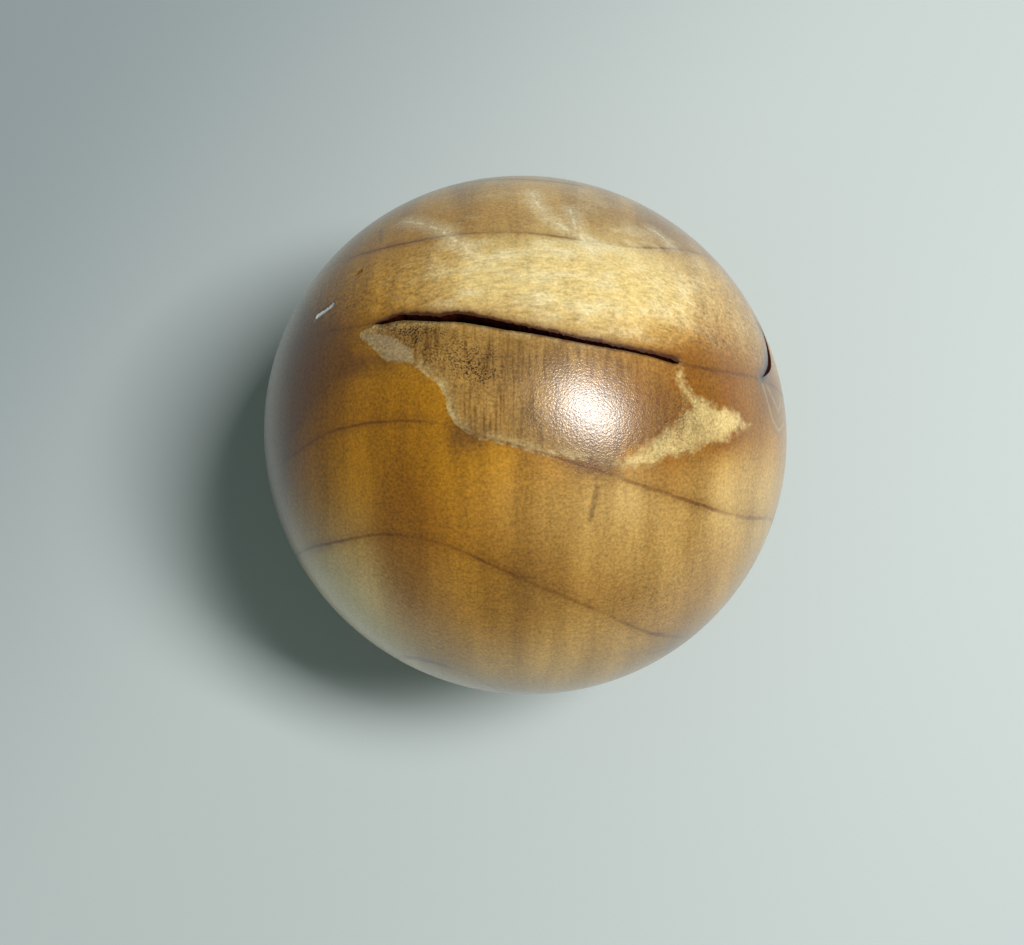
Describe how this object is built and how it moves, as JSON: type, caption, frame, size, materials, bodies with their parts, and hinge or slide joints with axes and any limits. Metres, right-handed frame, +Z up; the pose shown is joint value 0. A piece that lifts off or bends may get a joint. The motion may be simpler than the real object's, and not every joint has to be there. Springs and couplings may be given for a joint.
{
  "type": "wooden ball",
  "caption": "Solid turned wooden ball for the hand or desk, split by an open drying crack along one growth ring, under a clear satin finish.",
  "frame": {"origin": "centre of the ball", "axes": "+Z up through the middle of the cracked face as it is seen from above, +X towards the right-hand end of the crack; the grain runs in the XY plane, 30.6 degrees from +X towards -Y"},
  "size_m": [0.0604, 0.0598, 0.0596],
  "materials": {
    "varnished_wood": "clear satin varnish over polished, figured golden-brown wood"
  },
  "bodies": {
    "root": {"ball": "varnished_wood"}
  },
  "joints": []
}
